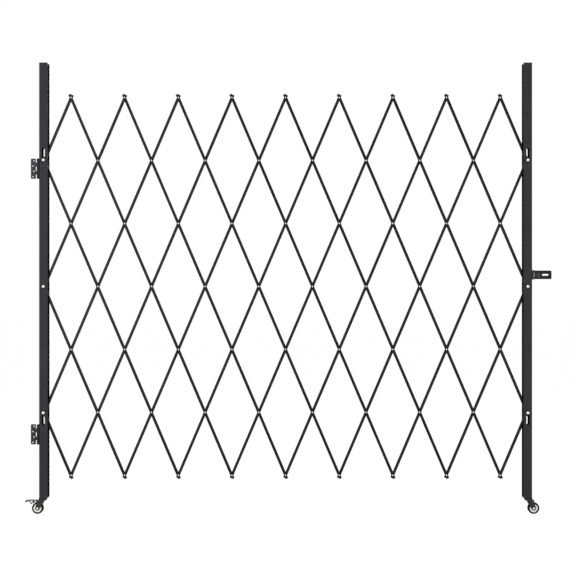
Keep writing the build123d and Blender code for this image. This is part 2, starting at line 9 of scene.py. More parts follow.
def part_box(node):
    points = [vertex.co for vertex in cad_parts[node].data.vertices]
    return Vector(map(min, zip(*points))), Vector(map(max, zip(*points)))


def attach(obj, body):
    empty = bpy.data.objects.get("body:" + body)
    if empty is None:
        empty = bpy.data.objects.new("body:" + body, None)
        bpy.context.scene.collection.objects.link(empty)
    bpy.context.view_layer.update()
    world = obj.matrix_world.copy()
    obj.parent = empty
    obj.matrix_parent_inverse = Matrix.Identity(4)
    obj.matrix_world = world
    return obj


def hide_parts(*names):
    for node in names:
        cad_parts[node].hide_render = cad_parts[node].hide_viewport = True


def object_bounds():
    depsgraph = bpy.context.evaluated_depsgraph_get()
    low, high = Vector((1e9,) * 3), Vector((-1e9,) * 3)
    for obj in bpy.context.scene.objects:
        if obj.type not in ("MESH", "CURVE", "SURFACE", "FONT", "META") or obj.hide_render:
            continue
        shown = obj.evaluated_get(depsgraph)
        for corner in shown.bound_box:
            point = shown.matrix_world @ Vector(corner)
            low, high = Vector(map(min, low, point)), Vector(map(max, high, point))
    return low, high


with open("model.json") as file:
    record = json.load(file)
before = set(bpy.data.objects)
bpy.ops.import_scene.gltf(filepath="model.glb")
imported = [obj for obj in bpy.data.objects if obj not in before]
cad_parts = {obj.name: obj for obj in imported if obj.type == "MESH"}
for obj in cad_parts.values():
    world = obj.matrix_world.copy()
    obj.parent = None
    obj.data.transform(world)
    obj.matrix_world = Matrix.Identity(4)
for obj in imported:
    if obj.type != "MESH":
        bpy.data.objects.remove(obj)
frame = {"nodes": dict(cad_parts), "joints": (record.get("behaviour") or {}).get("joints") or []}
cad_low, cad_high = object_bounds()
MM = 0.001

# The camera stands far in front of the gate, level, and a little left of its middle
CAMERA_X = -0.0012
CAMERA_HEIGHT = 0.9961
CAMERA_DISTANCE = 5.0
LENS = 71.06
SENSOR = 36.0

# Softboxes as (name, place, size, watts), all aimed at one point
SOFTBOX_AIM = (0, 0, 1.0)
SOFTBOXES = (
    ("key", (-2.6, -4.6, 1.25), 3.0, 122),
    ("fill", (2.9, -4.3, 1.1), 3.0, 66),
    ("back", (0.5, 3.4, 3.0), 2.4, 60),
)

# The white surroundings: how bright they are to the camera, and as a light
BACKGROUND_SEEN = 1.0
BACKGROUND_LIGHT = 0.55
FLOOR_SIZE = 60.0
FLOOR_WHITE = 0.8
FLOOR_ROUGHNESS = 0.9
FLOOR_SPECULAR = 0.1
FLOOR_GLOW = 1.055
FLOOR_GLOW_SHARE = 0.9

# Lattice
CELLS = 9
ROWS = 6
COLUMNS = 2 * CELLS
MIDDLE_LEVEL = ROWS // 2
BARS_EACH_WAY = 12

# Crossing rivets: a domed head in front and a rolled tail behind
RIVET_HEAD = 4.25 * MM
RIVET_SHANK = 2.5 * MM
RIVET_DOME = 1.8 * MM
RIVET_GRIP = 1.9 * MM
RIVET_DOME_STEPS = 6
TAIL_ROLL = 1.2 * MM
TAIL_ROLL_TURN = 150
TAIL_ROLL_STEPS = 7
CUP_RADIUS = 1.2 * MM
CUP_RIM = 0.36 * MM
CUP_FLOOR = 0.18 * MM
RIVET_STEPS = 24

# Pivot bolts of the posts
POST_HALF_DEPTH = 20.0 * MM
SLIDE_CLEARANCE = 0.2 * MM
BOLT_SHANK = 3.0 * MM
BOLT_HEAD = 7.25 * MM
BOLT_DOME = 4.8 * MM
BOLT_SKIRT = 0.9 * MM
BOLT_DOME_STEPS = 9
WASHER_RADIUS = 11.0 * MM
WASHER_THICKNESS = 1.5 * MM
WASHER_EDGE = 0.35 * MM
BUSH_RADIUS = 6.35 * MM
BUSH_START = 6.9 * MM
FIXED_BUSH_END = 17.95 * MM
BOLT_STEPS = 40

# Rivets that hold a leaf to a post's web: flush outside, a formed head inside
LEAF_GRIP = 4.2 * MM
LEAF_RIVET_SHANK = 2.5 * MM
LEAF_RIVET_HEAD = 4.0 * MM
LEAF_RIVET_SINK = 1.5 * MM
LEAF_RIVET_TAIL = 1.8 * MM
DIMPLE_DEPTH = 0.25 * MM
DIMPLE_FLOOR = 1.4 * MM
DIMPLE_MOUTH = 1.8 * MM
WEB_OFFSET = 19.0 * MM
CHANNEL_HALF = 18.2 * MM
LEAF_THICKNESS = 2.2 * MM
SCREWS_IN_A_LEAF = 4
SCREW_PITCH = 23.6 * MM
SCREW_STAGGER = 2.4 * MM
HASP_RIVET_ROWS = (-10.0 * MM, 1.0 * MM)
HASP_RIVET_RISE = 13.0 * MM

# Broken edges of the pressed pieces
POST_EDGE = 0.4 * MM
BAR_EDGE = 0.25 * MM
SHEET_EDGE = 0.35 * MM
FORK_EDGE = 0.5 * MM
EASED_FROM_ANGLE = 50
TURNED_SHARP_ANGLE = 35
SHEET_SHARP_ANGLE = 60

# Vertices closer than a merge distance become one, and so do faces flatter than so many degrees
TURNED_MERGE = 0.01 * MM
SHEET_MERGE = 0.004 * MM
SHEET_FLATNESS = 0.5
BLOCK_FLATNESS = 1

# Wheels. A table gives a profile's steps from a corner, as (radius, y) in millimetres
WHEEL_RADIUS = 25.4 * MM
WHEEL_STEPS = 96
TYRE_HALF_WIDTH = 10.0 * MM
TYRE_SHOULDER = 2.9 * MM
TYRE_SHOULDER_INSET = 3.1 * MM
TYRE_SHOULDER_END = 8
TYRE_SHOULDER_STEPS = 8
TYRE_FLANK = ((0, -0.4), (0.9, -0.1), (1.3, -0.6), (1.9, -0.6), (2.3, 0))
TYRE_CROWN = ((-0.12, 5.0), (-0.05, 2.5), (-0.04, 0.4), (0, 0.2))
HUB_RADIUS = 17.6 * MM
HUB_RIM = 14.6 * MM
HUB_RIM_HALF = 9.0 * MM
HUB_WEB_HALF = 7.0 * MM
HUB_BOSS = 7.5 * MM
HUB_BOSS_HALF = 11.0 * MM
BOSS_EDGE = ((-0.6, 0), (-0.1, -0.4))
BOSS_FOOT = ((0.3, 0.9), (0.9, 0.15), (1.8, 0))
RIM_FOOT = ((-1.6, 0), (-0.7, 0.3), (-0.1, 1.2))
RIM_EDGE = ((0.3, -0.4), (0.8, 0))
HUB_RIBS = 8
HUB_RIB_HALF = 0.8 * MM
HUB_RIB_TOP = 8.2 * MM
HUB_RIB_DRAFT = 0.7
HUB_RIB_EDGE = 0.15 * MM
RIB_INTO_BOSS = 0.4 * MM
RIB_INTO_RIM = 0.3 * MM
SLEEVE_DEPTH = 3 * MM
SLEEVE_PROUD = 0.3 * MM
SLEEVE_BORE = 3.2 * MM
SLEEVE_RADIUS = 4.6 * MM
SLEEVE_EDGE = 0.2 * MM

# Axles and the lever's pin. The shares are of a pin head's rise and radius
AXLE_RADIUS = 3.0 * MM
AXLE_HEAD = 5.0 * MM
AXLE_DOME = 3.4 * MM
AXLE_WASHER = 7.2 * MM
AXLE_WASHER_THICKNESS = 0.6 * MM
AXLE_WASHER_EDGE = 0.15 * MM
FORK_FACE = 14.0 * MM
LEVER_PIN_RADIUS = 2.0 * MM
LEVER_PIN_HEAD = 3.5 * MM
LEVER_PIN_DOME = 1.5 * MM
PIN_DOME_SHARE = 0.8
PIN_SKIRT_SHARE = 0.2
PIN_TAIL_WIDTH = 0.8
PIN_TAIL_RISE = 0.55
PIN_DOME_STEPS = 7
PIN_TAIL_STEPS = 5

# Raceways, stems and kingpins of the casters
STEM_RADIUS = 5.0 * MM
STEM_CHAMFER = 0.8 * MM
THREAD_PITCH = 0.8 * MM
THREAD_DEPTH = 0.35 * MM
THREAD_RUN_OUT = 1.0 * MM
NUT_FLATS = 16.0 * MM
NUT_HEIGHT = 6.0 * MM
NUT_CHAMFER = 0.72 * MM
NUT_SIDES = 6
FOOT_PLATE = 4.0 * MM
CROWN_DEPTH = 3.4 * MM
RACEWAY_RADIUS = 18.0 * MM
RACEWAY_SHOULDER = ((-3.4, 0), (-2.2, -0.4), (-0.8, -1.5), (0, -3.0), (0, -4.6))
RACEWAY_GROOVE = ((-0.9, -5.0), (-0.9, -5.6), (-0.1, -6.0))
RACEWAY_FOOT = ((-0.1, 0.4), (-0.6, 0))
KINGPIN_RADIUS = 4.5 * MM
KINGPIN_HEAD = 7.0 * MM
KINGPIN_HEAD_HEIGHT = 1.5 * MM
KINGPIN_EDGE_WIDTH = 1.0 * MM
KINGPIN_EDGE_HEIGHT = 0.5 * MM

# Brake lever: a bright tread on top and a ribbed rubber tip, on a pad that slopes down
TREAD_START = 11.0 * MM
TREAD_HALF_WIDTH = 10.4 * MM
TREAD_THICKNESS = 0.8 * MM
TREAD_EDGE = 0.32 * MM
TREAD_RIDGES = 6
RIDGE_HALF = 1.1 * MM
RIDGE_RISE = 2.6 * MM
RIDGE_EDGE = 0.88 * MM
PAD_LENGTH = 17.5 * MM
PAD_THICKNESS = 4.0 * MM
PAD_DROP = 2.5 * MM
TIP_LENGTH = 8.5 * MM
TIP_PROUD = 0.7 * MM
TIP_EDGE = 0.9 * MM
TIP_RIBS = 4
TIP_RIB_SHARE = 0.25
TIP_RIB_INSET = 1.5 * MM
TIP_RIB_SINK = 0.5 * MM
TIP_RIB_RISE = 0.4 * MM
TIP_RIB_EDGE = 0.2 * MM

# Grain of the finishes: the scale of each noise, the depth of its bump, and how far it
# takes the roughness down and up
NOISE_MIDDLE = (0.3, 0.7)
COAT_PATCH = 9.0
HINGE_PATCH = 200.0
COAT_GRAIN = 900.0
COAT_GRAIN_DEPTH = 0.06 * MM
COAT_ROUGHNESS_STEPS = (-0.06, 0.06)
PLATE_CLOUD = 120.0
PLATE_MARK = 1800.0
PLATE_MARK_DEPTH = 0.02 * MM
PLATE_ROUGHNESS_STEPS = (-0.08, 0.1)
MOULD_PATCH = 60.0
MOULD_ROUGHNESS_STEPS = (-0.05, 0.08)
# Painted highlights on the hasp: their speckle and its range, the grain and wander of their
# edges, and their fade
HIGHLIGHT_SPECKLE = 700.0
HIGHLIGHT_SPECKLE_RANGE = (0.5, 1.0)
HIGHLIGHT_EDGE_GRAIN = 260.0
HIGHLIGHT_FADE = 1.6 * MM
HIGHLIGHT_WANDER = 1.4 * MM


def pivot_place(name):
    for joint in frame["joints"]:
        if joint["name"] == name:
            return Vector(joint["pos_m"])
    raise ValueError(name)


left_pivot = pivot_place("fold")
right_pivot = pivot_place("right_post_turn")
hasp_pin = pivot_place("hasp_swing")
half_cell = (right_pivot.x - left_pivot.x) / COLUMNS
level_rise = pivot_place("falling_03_turn").z - left_pivot.z

# Painted highlights on the hasp, in millimetres from its pin: on its barrel, the strap's root
# and both bends of the strap, as (x, z, half width, half height, share of the pale highlight
# colour)
HASP_PAINTED_HIGHLIGHTS = (
    (-1.0, 0, 3.2, 20.0, 0.16),
    (4.4, -1.0, 2.2, 10.0, 1.0),
    (14.0, -1.0, 1.2, 9.0, 0.2),
    (25.0, -1.0, 2.2, 9.5, 0.3),
)


def crossing(column, level):
    """Where two bars cross. Column 0 is at the left post, level 0 at the top."""
    x = left_pivot.x + column * half_cell
    return Vector((x, 0, left_pivot.z + (MIDDLE_LEVEL - level) * level_rise))


# Materials


def new_material(name):
    material = bpy.data.materials.new(name)
    material.use_nodes = True
    tree = material.node_tree
    shader = tree.nodes["Principled BSDF"]
    return material, tree, shader


def object_place(tree):
    return tree.nodes.new("ShaderNodeTexCoord").outputs["Object"]


def separated(tree, place):
    """The X, Y and Z of a place."""
    axes = tree.nodes.new("ShaderNodeSeparateXYZ")
    tree.links.new(place, axes.inputs["Vector"])
    return axes.outputs


def joined(tree, operation, first, second):
    """The result of a Math node on two sockets or numbers."""
    node = tree.nodes.new("ShaderNodeMath")
    node.operation = operation
    for socket, value in zip(node.inputs, (first, second)):
        if isinstance(value, float):
            socket.default_value = value
        else:
            tree.links.new(value, socket)
    return node.outputs[0]


def ranged(tree, value, source, target, curve="LINEAR"):
    """Maps the range source of a value to the range target."""
    node = tree.nodes.new("ShaderNodeMapRange")
    node.interpolation_type = curve
    tree.links.new(value, node.inputs["Value"])
    ends = ("From Min", "From Max", "To Min", "To Max")
    for end, number in zip(ends, (*source, *target)):
        node.inputs[end].default_value = number
    return node.outputs["Result"]


def noise(tree, place, scale, detail=2.0, roughness=0.5):
    node = tree.nodes.new("ShaderNodeTexNoise")
    tree.links.new(place, node.inputs["Vector"])
    node.inputs["Scale"].default_value = scale
    node.inputs["Detail"].default_value = detail
    node.inputs["Roughness"].default_value = roughness
    return node.outputs["Fac"]


def tint(tree, value, dark, pale):
    """A colour between dark and pale, as a noise says."""
    node = tree.nodes.new("ShaderNodeValToRGB")
    tree.links.new(value, node.inputs["Fac"])
    for element, position, colour in zip(
        node.color_ramp.elements, NOISE_MIDDLE, (dark, pale)
    ):
        element.position = position
        element.color = (*colour, 1)
    return node.outputs["Color"]


def set_grain(tree, shader, grain, roughness, steps, depth):
    """Takes the roughness a step down and up with a noise, and bumps the face with it."""
    varied = ranged(tree, grain, NOISE_MIDDLE, [roughness + step for step in steps])
    tree.links.new(varied, shader.inputs["Roughness"])
    node = tree.nodes.new("ShaderNodeBump")
    tree.links.new(grain, node.inputs["Height"])
    node.inputs["Strength"].default_value = 1.0
    node.inputs["Distance"].default_value = depth
    tree.links.new(node.outputs["Normal"], shader.inputs["Normal"])


def powder_coat(name, dark, pale, roughness, specular, patch=COAT_PATCH):
    """Baked powder: a fine orange peel, faint patches and a satin sheen."""
    material, tree, shader = new_material(name)
    place = object_place(tree)
    patches = noise(tree, place, patch, detail=4.0)
    tree.links.new(tint(tree, patches, dark, pale), shader.inputs["Base Color"])
    shader.inputs["Specular IOR Level"].default_value = specular
    grain = noise(tree, place, COAT_GRAIN, detail=3.0, roughness=0.6)
    set_grain(tree, shader, grain, roughness, COAT_ROUGHNESS_STEPS, COAT_GRAIN_DEPTH)
    return material


def blend_into(material, share, colour):
    """Mixes a colour into a finish, as much of it as the socket share says."""
    tree = material.node_tree
    base = tree.nodes["Principled BSDF"].inputs["Base Color"]
    coat = base.links[0].from_socket
    mix = tree.nodes.new("ShaderNodeMix")
    mix.data_type = "RGBA"
    tree.links.new(share, mix.inputs["Factor"])
    colour_sockets = [socket for socket in mix.inputs if socket.type == "RGBA"]
    tree.links.new(coat, colour_sockets[0])
    colour_sockets[1].default_value = (*colour, 1)
    mixed = [socket for socket in mix.outputs if socket.type == "RGBA"][0]
    tree.links.new(mixed, base)


def coat_with_painted_channel_shade(name, dark, pale, channel_shade_colour, roughness, specular, post_x, side):
    """A powder coat with a near-black painted shade over the inside of a post's channel, where
    shadow falls.
    side is -1 where the web is on the left."""
    material = powder_coat(name, dark, pale, roughness, specular)
    tree = material.node_tree
    axes = separated(tree, object_place(tree))
    depth = joined(tree, "ABSOLUTE", axes["Y"], 0.0)
    between_flanges = joined(tree, "LESS_THAN", depth, CHANNEL_HALF)
    from_middle = joined(tree, "SUBTRACT", axes["X"], post_x)
    towards_web = joined(tree, "MULTIPLY", from_middle, float(side))
    inside_web = joined(tree, "LESS_THAN", towards_web, CHANNEL_HALF)
    inside = joined(tree, "MULTIPLY", between_flanges, inside_web)
    # The inside of the channel takes the painted shade in place of the coat's colour
    blend_into(material, inside, channel_shade_colour)
    return material


def band(tree, value, middle, half, wander):
    """1 near the middle, falling to 0 past half, with an edge that wanders."""
    away = joined(tree, "ABSOLUTE", joined(tree, "SUBTRACT", value, middle), 0.0)
    edge = joined(tree, "ADD", away, wander)
    return ranged(tree, edge, (half - HIGHLIGHT_FADE, half + HIGHLIGHT_FADE), (1.0, 0.0), "SMOOTHSTEP")


def coat_with_painted_highlights(name, dark, pale, highlight_colour, roughness, specular, origin, highlights):
    """A black coat with painted highlights: a paler colour in upright bands, laid out as the
    hasp's table of painted highlights is.
    """
    material = powder_coat(name, dark, pale, roughness, specular)
    tree = material.node_tree
    place = object_place(tree)
    axes = separated(tree, place)
    speckle = noise(tree, place, HIGHLIGHT_SPECKLE, detail=3.0)
    speckle = ranged(tree, speckle, NOISE_MIDDLE, HIGHLIGHT_SPECKLE_RANGE)
    wander = noise(tree, place, HIGHLIGHT_EDGE_GRAIN, detail=4.0)
    wander = ranged(tree, wander, NOISE_MIDDLE, (-HIGHLIGHT_WANDER, HIGHLIGHT_WANDER))
    highlit = None
    for x, z, half_width, half_height, share in highlights:
        across = band(tree, axes["X"], origin.x + x * MM, half_width * MM, wander)
        along = band(tree, axes["Z"], origin.z + z * MM, half_height * MM, wander)
        patch = joined(tree, "MULTIPLY", joined(tree, "MULTIPLY", across, along), share)
        highlit = patch if highlit is None else joined(tree, "MAXIMUM", highlit, patch)
    # The highlights are painted into the coat's colour, broken up by a speckle
    blend_into(material, joined(tree, "MULTIPLY", highlit, speckle), highlight_colour)
    return material


def zinc_plate(name, dark, pale, roughness):
    """Bright plated steel, with faint clouds and fine marks from tumbling."""
    material, tree, shader = new_material(name)
    place = object_place(tree)
    clouds = noise(tree, place, PLATE_CLOUD, detail=3.0)
    tree.links.new(tint(tree, clouds, dark, pale), shader.inputs["Base Color"])
    shader.inputs["Metallic"].default_value = 1.0
    marks = noise(tree, place, PLATE_MARK, detail=2.0, roughness=0.7)
    set_grain(tree, shader, marks, roughness, PLATE_ROUGHNESS_STEPS, PLATE_MARK_DEPTH)
    return material


def moulded(name, dark, pale, roughness, grain_scale, grain_depth, specular=0.5):
    """Rubber or nylon from a mould."""
    material, tree, shader = new_material(name)
    place = object_place(tree)
    patches = noise(tree, place, MOULD_PATCH, detail=3.0)
    tree.links.new(tint(tree, patches, dark, pale), shader.inputs["Base Color"])
    shader.inputs["Specular IOR Level"].default_value = specular
    grain = noise(tree, place, grain_scale, detail=2.0)
    set_grain(tree, shader, grain, roughness, MOULD_ROUGHNESS_STEPS, grain_depth)
    return material


# Black powder coat of the posts, with a painted shade over the inside of each channel
post_coats = {
    name: coat_with_painted_channel_shade(
        f"{name}_post_coat",
        dark=(0.021, 0.021, 0.024),
        pale=(0.027, 0.0272, 0.031),
        channel_shade_colour=(0.0025, 0.0025, 0.0028),
        roughness=0.5,
        specular=0.12,
        post_x=pivot.x,
        side=side,
    )
    for name, pivot, side in (("left", left_pivot, -1), ("right", right_pivot, 1))
}
bar_coat = powder_coat(
    "bar_powder_coat",
    dark=(0.0045, 0.0046, 0.005),
    pale=(0.007, 0.0072, 0.0078),
    roughness=0.4,
    specular=0.16,
)
hardware_coat = powder_coat(
    "hardware_black_coat",
    dark=(0.006, 0.006, 0.0065),
    pale=(0.012, 0.012, 0.013),
    roughness=0.36,
    specular=0.2,
)
washer_black = powder_coat(
    "washer_black_coat",
    dark=(0.004, 0.004, 0.0045),
    pale=(0.007, 0.007, 0.0075),
    roughness=0.5,
    specular=0.12,
)
fork_coat = powder_coat(
    "fork_black_coat",
    dark=(0.012, 0.012, 0.0125),
    pale=(0.024, 0.0238, 0.0235),
    roughness=0.42,
    specular=0.2,
)
leaf_coat = powder_coat(
    "hinge_black_coat",
    dark=(0.004, 0.004, 0.0045),
    pale=(0.021, 0.021, 0.0215),
    roughness=0.4,
    specular=0.22,
    patch=HINGE_PATCH,
)
# The hasp's black coat, with pale bands painted on as highlights at its barrel and the strap's
# bends
hasp_coat_and_highlights = coat_with_painted_highlights(
    "hasp_black_coat_and_highlights",
    dark=(0.003, 0.003, 0.0034),
    pale=(0.007, 0.007, 0.0075),
    highlight_colour=(0.42, 0.42, 0.43),
    roughness=0.42,
    specular=0.12,
    origin=hasp_pin,
    highlights=HASP_PAINTED_HIGHLIGHTS,
)
bright_zinc = zinc_plate("bright_zinc", (0.56, 0.56, 0.55), (0.68, 0.68, 0.67), 0.36)
dull_zinc = zinc_plate("dull_zinc", (0.4, 0.41, 0.42), (0.55, 0.55, 0.54), 0.38)
tread_zinc = zinc_plate("tread_zinc", (0.3, 0.305, 0.31), (0.42, 0.42, 0.415), 0.55)
tyre_rubber = moulded(
    "tyre_rubber",
    dark=(0.0035, 0.0035, 0.0035),
    pale=(0.006, 0.006, 0.006),
    roughness=0.8,
    grain_scale=1500.0,
    grain_depth=0.05 * MM,
    specular=0.1,
)
hub_nylon = moulded(
    "hub_nylon",
    dark=(0.86, 0.86, 0.85),
    pale=(0.92, 0.92, 0.91),
    roughness=0.34,
    grain_scale=1200.0,
    grain_depth=0.01 * MM,
)
pad_rubber = moulded(
    "pad_rubber",
    dark=(0.014, 0.014, 0.015),
    pale=(0.022, 0.022, 0.023),
    roughness=0.7,
    grain_scale=1400.0,
    grain_depth=0.06 * MM,
    specular=0.3,
)


# Making and placing pieces


def mesh_of(name, bm):
    mesh = bpy.data.meshes.new(name)
    bm.to_mesh(mesh)
    bm.free()
    return mesh


def finished(name, bm, body, material, replaced=(), sharp=TURNED_SHARP_ANGLE):
    """Makes a piece of a bmesh, rides it on its body and gives it its finish."""
    bmesh.ops.recalc_face_normals(bm, faces=bm.faces)
    mesh = mesh_of(name, bm)
    for face in mesh.polygons:
        face.use_smooth = True
    mesh.set_sharp_from_angle(angle=math.radians(sharp))
    mesh.materials.append(material)
    piece = bpy.data.objects.new(name, mesh)
    bpy.context.scene.collection.objects.link(piece)
    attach(piece, body)
    if replaced:
        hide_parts(*replaced)
    return piece


def flattened(bm, degrees):
    """Makes one face of faces that lie within some degrees of each other."""
    bmesh.ops.dissolve_limit(
        bm, angle_limit=math.radians(degrees), verts=bm.verts, edges=bm.edges
    )


def rounded(bm, edges, offset, segments):
    bmesh.ops.bevel(
        bm,
        geom=edges,
        offset=offset,
        offset_type="OFFSET",
        segments=segments,
        profile=0.5,
        affect="EDGES",
        clamp_overlap=False,
        material=-1,
    )


def turned(profile, steps, closed=False):
    """A mesh turned about Y from (radius, y) points; closed joins the last to the first."""
    bm = bmesh.new()
    verts = [bm.verts.new((radius, y, 0)) for radius, y in profile]
    edges = [bm.edges.new(pair) for pair in zip(verts, verts[1:])]
    if closed:
        edges.append(bm.edges.new((verts[-1], verts[0])))
    bmesh.ops.spin(
        bm,
        geom=verts + edges,
        cent=(0, 0, 0),
        axis=(0, 1, 0),
        angle=2 * math.pi,
        steps=steps,
        use_merge=True,
    )
    bmesh.ops.remove_doubles(bm, verts=bm.verts, dist=TURNED_MERGE)
    bmesh.ops.recalc_face_normals(bm, faces=bm.faces)
    return mesh_of("turned_shape", bm)


def upright(mesh):
    """Stands a turned shape, made about Y, on end about Z."""
    mesh.transform(Matrix.Rotation(math.pi / 2, 4, "X"))
    return mesh


def gathered(shape, places, turn=None):
    """One bmesh with a copy of a shape, turned if asked, at each place."""
    bm = bmesh.new()
    for place in places:
        known = len(bm.verts)
        bm.from_mesh(shape)
        bm.verts.ensure_lookup_table()
        fresh = bm.verts[known:]
        if turn:
            bmesh.ops.rotate(bm, verts=fresh, matrix=turn)
        bmesh.ops.translate(bm, verts=fresh, vec=place)
    return bm


def assembled(shapes, place):
    """One bmesh of several shapes, moved to a place together."""
    bm = bmesh.new()
    for shape in shapes:
        bm.from_mesh(shape)
    bmesh.ops.translate(bm, verts=bm.verts, vec=place)
    return bm


def arc(centre, radius, start, end, count):
    """Points of an arc in a profile's (radius, y) plane, angles in degrees."""
    points = []
    for number in range(count + 1):
        angle = math.radians(start + (end - start) * number / count)
        points.append(
            (centre[0] + radius * math.cos(angle), centre[1] + radius * math.sin(angle))
        )
    return points


def dome(head, height, base, side, count):
    """Profile of a shallow dome, from its pole to its rim. side is -1 in front."""
    radius = (head**2 + height**2) / (2 * height)
    half_angle = math.asin(head / radius)
    points = []
    for number in range(count + 1):
        angle = half_angle * number / count
        y = base + height - radius + radius * math.cos(angle)
        points.append((radius * math.sin(angle), side * y))
    return points


def stepped(radius, y, steps):
    """Points of a profile at steps, in millimetres, from one corner."""
    return [(radius + out * MM, y + along * MM) for out, along in steps]


def mirrored(half):
    """A closed profile from its half on the +Y side."""
    return half + [(radius, -y) for radius, y in reversed(half) if y > 0]


# Crossing rivets


def rivet_shape():
    grip = RIVET_GRIP
    front = dome(RIVET_HEAD, RIVET_DOME, grip, -1, RIVET_DOME_STEPS)
    shank = [(RIVET_SHANK, -grip), (RIVET_SHANK, grip)]
    roll = (RIVET_HEAD - TAIL_ROLL, grip)
    tail = arc(roll, TAIL_ROLL, 0, TAIL_ROLL_TURN, TAIL_ROLL_STEPS)
    cup = [(CUP_RADIUS, grip + CUP_RIM), (0, grip + CUP_FLOOR)]
    return turned(front + shank + tail + cup, RIVET_STEPS)


rivet = rivet_shape()
for number in range(1, BARS_EACH_WAY + 1):
    line = 2 * number - 1
    span = range(max(1, line - ROWS), min(COLUMNS - 1, line) + 1)
    places = [crossing(column, line - column) for column in span]
    finished(
        f"crossing_rivets_{number:02d}",
        gathered(rivet, places),
        f"rising_{number:02d}",
        bright_zinc,
        replaced=[f"rivets_{number:02d}"],
    )


# Pivot bolts of the posts


def bolt_shape():
    face = POST_HALF_DEPTH + SLIDE_CLEARANCE + WASHER_THICKNESS
    rise = BOLT_DOME - BOLT_SKIRT
    front = dome(BOLT_HEAD, rise, face + BOLT_SKIRT, -1, BOLT_DOME_STEPS)
    rear = [(radius, -y) for radius, y in reversed(front)]
    middle = [
        (BOLT_HEAD, -face),
        (BOLT_SHANK, -face),
        (BOLT_SHANK, face),
        (BOLT_HEAD, face),
    ]
    return turned(front + middle + rear, BOLT_STEPS)


def washer_shape(side):
    near = side * (POST_HALF_DEPTH + SLIDE_CLEARANCE)
    far = near + side * WASHER_THICKNESS
    edge = side * WASHER_EDGE
    rim = WASHER_RADIUS - WASHER_EDGE
    profile = [
        (BOLT_SHANK + WASHER_EDGE, near),
        (rim, near),
        (WASHER_RADIUS, near + edge),
        (WASHER_RADIUS, far - edge),
        (rim, far),
        (BOLT_SHANK + WASHER_EDGE, far),
    ]
    return turned(profile, BOLT_STEPS, closed=True)


def bush_shape(side, end):
    bore = BOLT_SHANK + WASHER_EDGE
    profile = [
        (bore, side * BUSH_START),
        (BUSH_RADIUS, side * BUSH_START),
        (BUSH_RADIUS, side * end),
        (bore, side * end),
    ]
    return turned(profile, BOLT_STEPS, closed=True)


bolt = bolt_shape()
washers = [washer_shape(side) for side in (-1, 1)]
slide_end = POST_HALF_DEPTH + SLIDE_CLEARANCE
slide_bushes = [bush_shape(side, slide_end) for side in (-1, 1)]
fixed_bushes = [bush_shape(side, FIXED_BUSH_END) for side in (-1, 1)]


def pivot_bolt(name, body, place, bushes, node):
    finished(f"{name}_bolt", gathered(bolt, [place]), body, bright_zinc, [node])
    finished(f"{name}_washers", assembled(washers, place), body, washer_black)
    finished(f"{name}_bushes", assembled(bushes, place), body, dull_zinc)


for name, body, column, level in (
    ("upper_left_slide", "rising_01", 0, 1),
    ("lower_left_slide", "rising_03", 0, ROWS - 1),
    ("upper_right_slide", "rising_10", COLUMNS, 1),
    ("lower_right_slide", "rising_12", COLUMNS, ROWS - 1),
):
    pivot_bolt(name, body, crossing(column, level), slide_bushes, f"{name}_bolt")

for side, column in (("left", 0), ("right", COLUMNS)):
    place = crossing(column, MIDDLE_LEVEL)
    node = f"{side}_post_fasteners"
    pivot_bolt(f"{side}_middle", f"{side}_post", place, fixed_bushes, node)


# Rivets of the leaves


def leaf_rivet_shape():
    """Turned about Y, with the flush head at y = 0 and the post behind it."""
    shank, head = LEAF_RIVET_SHANK, LEAF_RIVET_HEAD
    front = [
        (0, DIMPLE_DEPTH),
        (DIMPLE_FLOOR, DIMPLE_DEPTH),
        (DIMPLE_MOUTH, 0),
        (head, 0),
        (shank, LEAF_RIVET_SINK),
        (shank, LEAF_GRIP),
    ]
    tail = dome(head, LEAF_RIVET_TAIL, LEAF_GRIP, 1, RIVET_DOME_STEPS)
    return turned(front + tail[::-1], RIVET_STEPS)


def leaf_rivets(name, body, post_x, side, spots):
    """Rivets at the (y, z) spots of a leaf on one post's web."""
    face = post_x + side * (WEB_OFFSET + LEAF_THICKNESS)
    places = [(face, y, z) for y, z in spots]
    turn = Matrix.Rotation(side * math.pi / 2, 3, "Z")
    bm = gathered(leaf_rivet_shape(), places, turn)
    finished(name, bm, body, hardware_coat)


def middle_of(node, low_z, high_z):
    """Height of the middle of a node's piece between two heights."""
    heights = [vert.co.z for vert in frame["nodes"][node].data.vertices]
    inside = [z for z in heights if low_z < z < high_z]
    return (min(inside) + max(inside)) / 2


hinge_middles = [
    middle_of("hinge_post_leaves", 0, left_pivot.z),
    middle_of("hinge_post_leaves", left_pivot.z, cad_high.z),
]
hinge_spots = [
    (
        SCREW_STAGGER * (-1) ** number,
        middle + ((SCREWS_IN_A_LEAF - 1) / 2 - number) * SCREW_PITCH,
    )
    for middle in hinge_middles
    for number in range(SCREWS_IN_A_LEAF)
]
hasp_spots = [
    (y, hasp_pin.z + way * HASP_RIVET_RISE) for y in HASP_RIVET_ROWS for way in (-1, 1)
]
leaf_rivets("hinge_leaf_rivets", "left_post", left_pivot.x, -1, hinge_spots)
leaf_rivets("hasp_leaf_rivets", "right_post", right_pivot.x, 1, hasp_spots)


# Bars, posts, leaves and forks, with the edges broken as a press and a powder coat do


def eased(name, node, body, material, edge):
    """A merged copy of a sheet-metal node, with a small round on every sharp edge."""
    bm = bmesh.new()
    bm.from_mesh(frame["nodes"][node].data)
    bmesh.ops.remove_doubles(bm, verts=bm.verts, dist=SHEET_MERGE)
    flattened(bm, SHEET_FLATNESS)
    limit = math.radians(EASED_FROM_ANGLE)
    corners = [
        line for line in bm.edges if line.is_manifold and line.calc_face_angle() > limit
    ]
    rounded(bm, corners, edge, segments=2)
    piece = finished(name, bm, body, material, [node], sharp=SHEET_SHARP_ANGLE)
    levelled = piece.modifiers.new("even_normals", "WEIGHTED_NORMAL")
    levelled.keep_sharp = True


